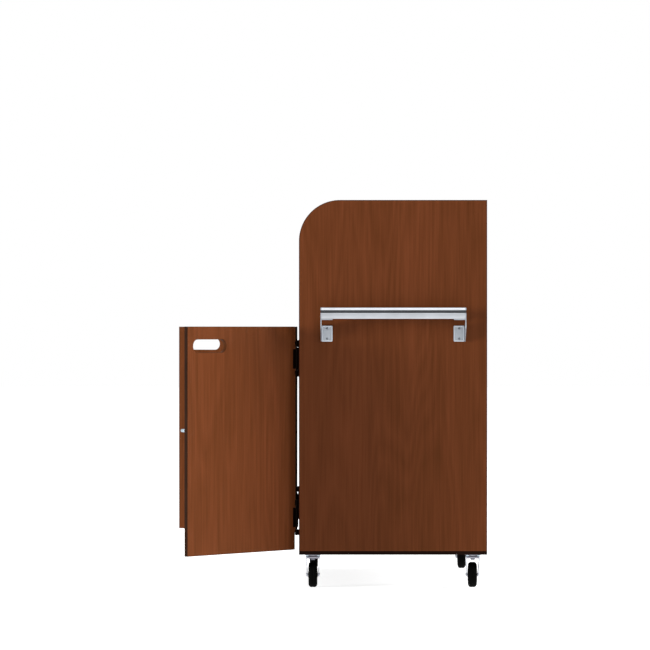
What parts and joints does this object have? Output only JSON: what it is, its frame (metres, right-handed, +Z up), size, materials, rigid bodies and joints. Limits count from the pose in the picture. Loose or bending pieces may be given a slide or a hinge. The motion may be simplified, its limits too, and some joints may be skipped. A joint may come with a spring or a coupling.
{
  "type": "condiment station cabinet",
  "caption": "Wheeled condiment station cabinet: laminate side panels, worktop with open bay, hinged doors with grip slots, shelf, side push handles and swivel casters.",
  "frame": {"origin": "on the floor under the middle of the cabinet's body", "axes": "+Z up, +Y towards the back, -Y towards the doors, +X towards the right side"},
  "size_m": [1.6885, 1.0501, 1.26],
  "materials": {
    "laminate": "cherry wood-grain laminate, satin",
    "panel_band": "cherry edge band, satin",
    "door_band": "dark brown edge band, satin",
    "base_board": "black, matte",
    "dowel": "plain beech",
    "steel": "bright zinc plated",
    "hinge_black": "black, satin",
    "catch_case": "brown moulded plastic",
    "magnet": "dark grey, matte",
    "handle_metal": "anodised extrusion, satin",
    "bracket_metal": "cast, satin",
    "zinc": "zinc plated",
    "axle_steel": "dark plated",
    "wheel_core": "black nylon",
    "tread": "black, matte"
  },
  "bodies": {
    "cabinet": {"side_panel_right": "laminate", "side_panel_left": "laminate", "back_panel": "laminate", "worktop": "laminate", "bottom_panel": "laminate", "shelf": "laminate", "side_band_right": "panel_band", "side_band_left": "panel_band", "back_top_band": "panel_band", "worktop_band": "panel_band", "bottom_panel_band": "panel_band", "shelf_band": "panel_band", "base_board": "base_board", "shelf_pins": "steel", "panel_dowels": "dowel", "hinge_frame_leaves_right": "hinge_black", "hinge_frame_leaves_left": "hinge_black", "hinge_pins": "hinge_black", "hinge_frame_screws": "hinge_black", "magnetic_catches": "catch_case", "catch_magnets": "magnet", "handle_bar_right": "handle_metal", "handle_bracket_right_front": "bracket_metal", "handle_bracket_right_rear": "bracket_metal", "handle_bar_left": "handle_metal", "handle_bracket_left_front": "bracket_metal", "handle_bracket_left_rear": "bracket_metal", "handle_screws": "steel", "caster_plate_front_right": "zinc", "caster_plate_rear_right": "zinc", "caster_plate_front_left": "zinc", "caster_plate_rear_left": "zinc", "caster_bolts": "steel", "caster_king_pins": "zinc"},
    "right_door": {"door_right": "laminate", "door_band_right": "door_band", "hinge_door_leaves_right": "hinge_black", "door_screws_right": "hinge_black", "catch_strike_right": "steel"},
    "left_door": {"door_left": "laminate", "door_band_left": "door_band", "hinge_door_leaves_left": "hinge_black", "door_screws_left": "hinge_black", "catch_strike_left": "steel"},
    "caster_front_right": {"caster_fork_front_right": "zinc", "caster_axle_front_right": "axle_steel"},
    "wheel_front_right": {"caster_wheel_front_right": "wheel_core", "caster_tyre_front_right": "tread"},
    "caster_rear_right": {"caster_fork_rear_right": "zinc", "caster_axle_rear_right": "axle_steel"},
    "wheel_rear_right": {"caster_wheel_rear_right": "wheel_core", "caster_tyre_rear_right": "tread"},
    "caster_front_left": {"caster_fork_front_left": "zinc", "caster_axle_front_left": "axle_steel"},
    "wheel_front_left": {"caster_wheel_front_left": "wheel_core", "caster_tyre_front_left": "tread"},
    "caster_rear_left": {"caster_fork_rear_left": "zinc", "caster_axle_rear_left": "axle_steel"},
    "wheel_rear_left": {"caster_wheel_rear_left": "wheel_core", "caster_tyre_rear_left": "tread"}
  },
  "joints": [
    {"name": "right_door_hinge", "type": "hinge", "parent": "cabinet", "child": "right_door", "pos_m": [0.5124, -0.3126, 0.48745], "axis": [0, 0, 1], "range_deg": [-138.8, 41.2]},
    {"name": "left_door_hinge", "type": "hinge", "parent": "cabinet", "child": "left_door", "pos_m": [-0.5124, -0.3126, 0.48745], "axis": [0, 0, -1], "range_deg": [-124.3, 55.7]},
    {"name": "front_right_swivel", "type": "hinge", "parent": "cabinet", "child": "caster_front_right", "pos_m": [0.4835, -0.26, 0.1], "axis": [0, 0, 1], "continuous": true},
    {"name": "front_right_roll", "type": "hinge", "parent": "caster_front_right", "child": "wheel_front_right", "pos_m": [0.4555, -0.26, 0.0413], "axis": [0, 1, 0], "continuous": true},
    {"name": "rear_right_swivel", "type": "hinge", "parent": "cabinet", "child": "caster_rear_right", "pos_m": [0.4835, 0.26, 0.1], "axis": [0, 0, 1], "continuous": true},
    {"name": "rear_right_roll", "type": "hinge", "parent": "caster_rear_right", "child": "wheel_rear_right", "pos_m": [0.4555, 0.26, 0.0413], "axis": [0, 1, 0], "continuous": true},
    {"name": "front_left_swivel", "type": "hinge", "parent": "cabinet", "child": "caster_front_left", "pos_m": [-0.4835, -0.26, 0.1], "axis": [0, 0, 1], "continuous": true},
    {"name": "front_left_roll", "type": "hinge", "parent": "caster_front_left", "child": "wheel_front_left", "pos_m": [-0.5115, -0.26, 0.0413], "axis": [0, 1, 0], "continuous": true},
    {"name": "rear_left_swivel", "type": "hinge", "parent": "cabinet", "child": "caster_rear_left", "pos_m": [-0.4835, 0.26, 0.1], "axis": [0, 0, 1], "continuous": true},
    {"name": "rear_left_roll", "type": "hinge", "parent": "caster_rear_left", "child": "wheel_rear_left", "pos_m": [-0.5115, 0.26, 0.0413], "axis": [0, 1, 0], "continuous": true}
  ]
}
